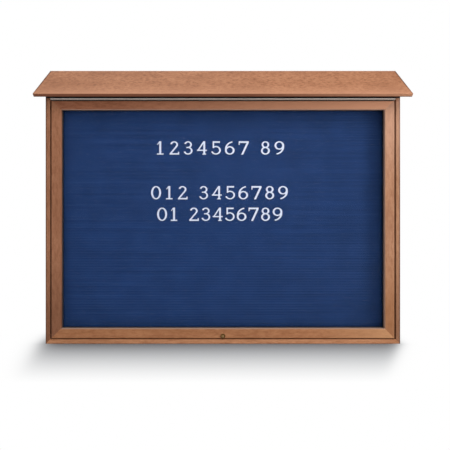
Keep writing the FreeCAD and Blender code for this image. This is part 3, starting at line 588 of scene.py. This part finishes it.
def pane_material():
    """The clear sheet: see-through from the front, glossier the more it is seen along."""
    made = bpy.data.materials.new("clear_pane")
    made.use_nodes = True
    tree = made.node_tree
    surface = tree.nodes["Principled BSDF"]
    surface.inputs["Base Color"].default_value = PANE_TINT
    surface.inputs["Roughness"].default_value = PANE_ROUGH
    steep = maths(tree, "POWER", add(tree, "LayerWeight").outputs["Facing"], PANE_CURVE)
    tree.links.new(mapped(tree, steep, 0.0, 1.0, PANE_CLEAR, PANE_ALONG), surface.inputs["Alpha"])
    return made


MATERIALS = {
    "lumber_across": lumber("lumber_across", ALONG_X),
    "lumber_upright": lumber("lumber_upright", ALONG_Z),
    # Copies of the lumber for single boards, each with its painted light and shade.
    "lumber_floor": lumber("lumber_floor", ALONG_X, LIGHT_AND_SHADE_TONES["floor"]),
    "lumber_low_rail": low_rail_lumber(),
    "lumber_top_rail": top_rail_lumber(),
    "lumber_left_stile": upright_lumber("left_stile"),
    "lumber_left_side": upright_lumber("left_side"),
    "lumber_right_stile": right_stile_lumber(),
    "lumber_right_side": upright_lumber("right_side"),
    "lumber_roof": roof_lumber(),
    "brown_panel": plastic("brown_panel", PANEL_BROWN, PANEL_BROWN_DEEP, roughness=0.62, grain=300.0),
    "blue_board": blue_board(),
    "white_digit": plastic("white_digit", DIGIT_WHITE, DIGIT_WHITE, roughness=0.38),
    "mill_silver": hinge_metal(),
    "screw_steel": metal("screw_steel", STEEL, MILL_SILVER, roughness=0.36),
    "bright_steel": metal("bright_steel", BRIGHT_STEEL, STEEL, roughness=0.16),
    "plated_sheet": metal("plated_sheet", STEEL, MILL_SILVER, roughness=0.42),
    "lock_brass": metal("lock_brass", BRASS, BRASS_DULL, roughness=0.34),
    "lock_bezel": metal("lock_bezel", BEZEL_BROWN, BEZEL_DULL, roughness=0.38),
    "screw_black": plastic("screw_black", STRUT_BLACK, BEAD_BLACK, roughness=0.4),
    "clear_pane": pane_material(),
    "foam": plastic("foam", FOAM_BLACK, BEAD_BLACK, roughness=0.9, grain=1500.0, relief=0.4, gloss=0.15),
    "gasket": plastic("gasket", GASKET_GREY, GASKET_DULL, roughness=0.8, grain=1500.0, relief=0.4),
    "bead_black": plastic("bead_black", BEAD_BLACK, FOAM_BLACK, roughness=0.55),
    "strut_black": plastic("strut_black", STRUT_BLACK, BEAD_BLACK, roughness=0.35),
}

FINISH = {
    "roof_board": "lumber_roof",
    "bottom_board": "lumber_floor",
    "header_board": "lumber_across",
    "door_top_rail": "lumber_top_rail",
    "door_bottom_rail": "lumber_low_rail",
    "door_left_stile": "lumber_left_stile",
    "left_side_board": "lumber_left_side",
    "door_right_stile": "lumber_right_stile",
    "right_side_board": "lumber_right_side",
    "fitting_screws_door": "screw_black",
    "door_stop_bottom_left": "lumber_across",
    "door_stop_bottom_right": "lumber_across",
    "mitre_splines": "lumber_across",
    "back_panel": "brown_panel",
    "letterboard": "blue_board",
    "pane": "clear_pane",
    "pane_gasket": "gasket",
    "door_seals": "foam",
    "lock_body": "lock_bezel",
    "lock_plug": "lock_brass",
}
FINISH_BY_START = (
    ("digits_row", "white_digit"),
    ("batten_", "brown_panel"),
    ("pane_bead", "bead_black"),
    ("strut_tube", "strut_black"),
    ("strut_rod", "bright_steel"),
    ("strut_door_pin", "bright_steel"),
    ("strut_case_pins", "bright_steel"),
    ("strut_bracket", "plated_sheet"),
    ("strike_plate", "plated_sheet"),
    ("lock_", "plated_sheet"),
    ("hinge_upper", "mill_silver"),
    ("hinge_lower", "mill_silver"),
    ("hinge_pin", "mill_silver"),
)
CASE_BOARDS = ("roof_board", "left_side_board", "right_side_board", "bottom_board", "header_board")
DOOR_BOARDS = ("door_left_stile", "door_right_stile", "door_top_rail", "door_bottom_rail")


def finish_of(node):
    if node in FINISH:
        return FINISH[node]
    if "screw" in node:
        return "screw_steel"
    for start, finish in FINISH_BY_START:
        if node.startswith(start):
            return finish
    return "lumber_upright"


def dress_nodes():
    for name, piece in nodes.items():
        piece.data.materials.clear()
        piece.data.materials.append(MATERIALS[finish_of(name)])


def soften(names, width):
    """A small round on the sharp edges of the boards, as a router leaves them."""
    for name in names:
        bevel = nodes[name].modifiers.new("eased_edges", "BEVEL")
        bevel.width = width
        bevel.segments = ROUND_STEPS
        bevel.limit_method = "ANGLE"
        bevel.angle_limit = SHARP_ANGLE
        bevel.harden_normals = True


def lamp(name, place, target, size, power):
    data = bpy.data.lights.new(name, "AREA")
    data.shape = "RECTANGLE"
    data.size, data.size_y = size
    data.energy = power
    item = bpy.data.objects.new(name, data)
    bpy.context.scene.collection.objects.link(item)
    item.location = place
    direction = Vector(target) - item.location
    item.rotation_euler = direction.to_track_quat("-Z", "Y").to_euler()


def white_seen(tree):
    """1 for what the camera sees of the background, straight or through the pane."""
    rays = add(tree, "LightPath").outputs
    return maths(tree, "MAXIMUM", rays["Is Camera Ray"], rays["Is Transmission Ray"])


def studio_world():
    """Soft light from all round, seen as plain white."""
    world = bpy.data.worlds.new("studio")
    bpy.context.scene.world = world
    world.use_nodes = True
    tree = world.node_tree
    soft = tree.nodes["Background"]
    soft.inputs["Color"].default_value = WHITE
    soft.inputs["Strength"].default_value = SOFT_LIGHT
    white = add(tree, "Background", {"Color": WHITE, "Strength": 1.0})
    both = add(tree, "MixShader", {0: white_seen(tree), 1: soft.outputs[0], 2: white.outputs[0]})
    tree.links.new(both.outputs[0], tree.nodes["World Output"].inputs["Surface"])


def side_share(tree, outward, ahead, half, taper, soft):
    """1 under the board, falling smoothly to 0 past a half width that tapers ahead of it."""
    past = maths(tree, "SUBTRACT", maths(tree, "MULTIPLY_ADD", ahead, taper, outward), half)
    steps = maths(tree, "MINIMUM", maths(tree, "DIVIDE", past, soft), FAR_STEPS)
    return maths(tree, "DIVIDE", 1.0, maths(tree, "ADD", maths(tree, "EXPONENT", steps), 1.0))


def shadow_share(tree, across, ahead):
    """How much of the darker floor shows, a painted shadow that also takes the lamps' shadow: all of it
    close by, none further off.
    """
    left = side_share(tree, maths(tree, "MULTIPLY", across, -1.0), ahead, *SHADOW_LEFT)
    right = side_share(tree, across, ahead, *SHADOW_RIGHT)
    front = maths(tree, "POWER", mapped(tree, ahead, 0.0, SHADOW_REACH, 1.0, 0.0), SHADOW_BEND)
    return maths(tree, "MULTIPLY", maths(tree, "MULTIPLY", left, right), front)


def under_board(tree, across, ahead):
    """1 right under the board, for all but what the camera sees, so that light reaches its underside."""
    within = maths(tree, "LESS_THAN", maths(tree, "ABSOLUTE", across), CASE_HALF)
    standing = maths(tree, "LESS_THAN", ahead, STANDING_EDGE)
    unseen = maths(tree, "SUBTRACT", 1.0, white_seen(tree))
    return maths(tree, "MULTIPLY", maths(tree, "MULTIPLY", within, standing), unseen)


def floor_material():
    """White floor, unseen from below: close by, a darker grey in a painted shadow's shape that also takes
    the lamps' shadow, and plain white beyond.
    """
    made = bpy.data.materials.new("studio_floor")
    made.use_nodes = True
    tree = made.node_tree
    tree.nodes.remove(tree.nodes["Principled BSDF"])
    place = add(tree, "SeparateXYZ", {0: add(tree, "TexCoord").outputs["Object"]}).outputs
    ahead = maths(tree, "SUBTRACT", maths(tree, "ABSOLUTE", place["Y"]), STANDING_DEPTH_HALF)
    ahead = maths(tree, "MAXIMUM", ahead, 0.0)
    # Painted shadow: the floor is darker grey close by, and takes the lamps' shadow too.
    shadow_grey = add(tree, "BsdfDiffuse", {"Color": FLOOR_SHADOW_GREY})
    plain = add(tree, "Emission", {"Strength": 1.0})
    kept = shadow_share(tree, place["X"], ahead)
    shown = add(tree, "MixShader", {0: kept, 1: plain.outputs[0], 2: shadow_grey.outputs[0]})
    matt = add(tree, "BsdfDiffuse", {"Color": FLOOR_FAR})
    both = add(tree, "MixShader", {0: white_seen(tree), 1: matt.outputs[0], 2: shown.outputs[0]})
    below = add(tree, "NewGeometry").outputs["Backfacing"]
    let_through = maths(tree, "MAXIMUM", below, under_board(tree, place["X"], ahead))
    clear = add(tree, "BsdfTransparent")
    seen = add(tree, "MixShader", {0: let_through, 1: both.outputs[0], 2: clear.outputs[0]})
    tree.links.new(seen.outputs[0], tree.nodes["Material Output"].inputs["Surface"])
    return made


def studio_floor():
    half = FLOOR_HALF
    mesh = bpy.data.meshes.new("studio_floor")
    corners = [(-half, -half, 0), (half, -half, 0), (half, half, 0), (-half, half, 0)]
    mesh.from_pydata(corners, [], [(0, 1, 2, 3)])
    floor = bpy.data.objects.new("studio_floor", mesh)
    bpy.context.scene.collection.objects.link(floor)
    floor.location = (0, FRONT / 2, BASE - FLOOR_DROP)
    mesh.materials.append(floor_material())


def camera():
    data = bpy.data.cameras.new("eye")
    data.sensor_width = SENSOR_WIDTH
    data.lens = FOCAL_PIXELS / IMAGE_SIDE * SENSOR_WIDTH
    data.shift_x = (IMAGE_SIDE / 2 - MIDDLE_X) / IMAGE_SIDE
    data.shift_y = (EYE_LEVEL_Y - IMAGE_SIDE / 2) / IMAGE_SIDE
    data.clip_start = NEAREST_SEEN
    item = bpy.data.objects.new("eye", data)
    bpy.context.scene.collection.objects.link(item)
    item.location = (0, FRONT - EYE_DISTANCE, BASE + EYE_HEIGHT)
    item.rotation_euler = (math.radians(90), 0, 0)
    bpy.context.scene.camera = item


dress_nodes()
soften(CASE_BOARDS, CASE_ROUND)
soften(DOOR_BOARDS, DOOR_ROUND)
for each in LAMPS:
    lamp(*each)
studio_world()
studio_floor()
camera()
bpy.context.scene.view_settings.view_transform = "Standard"
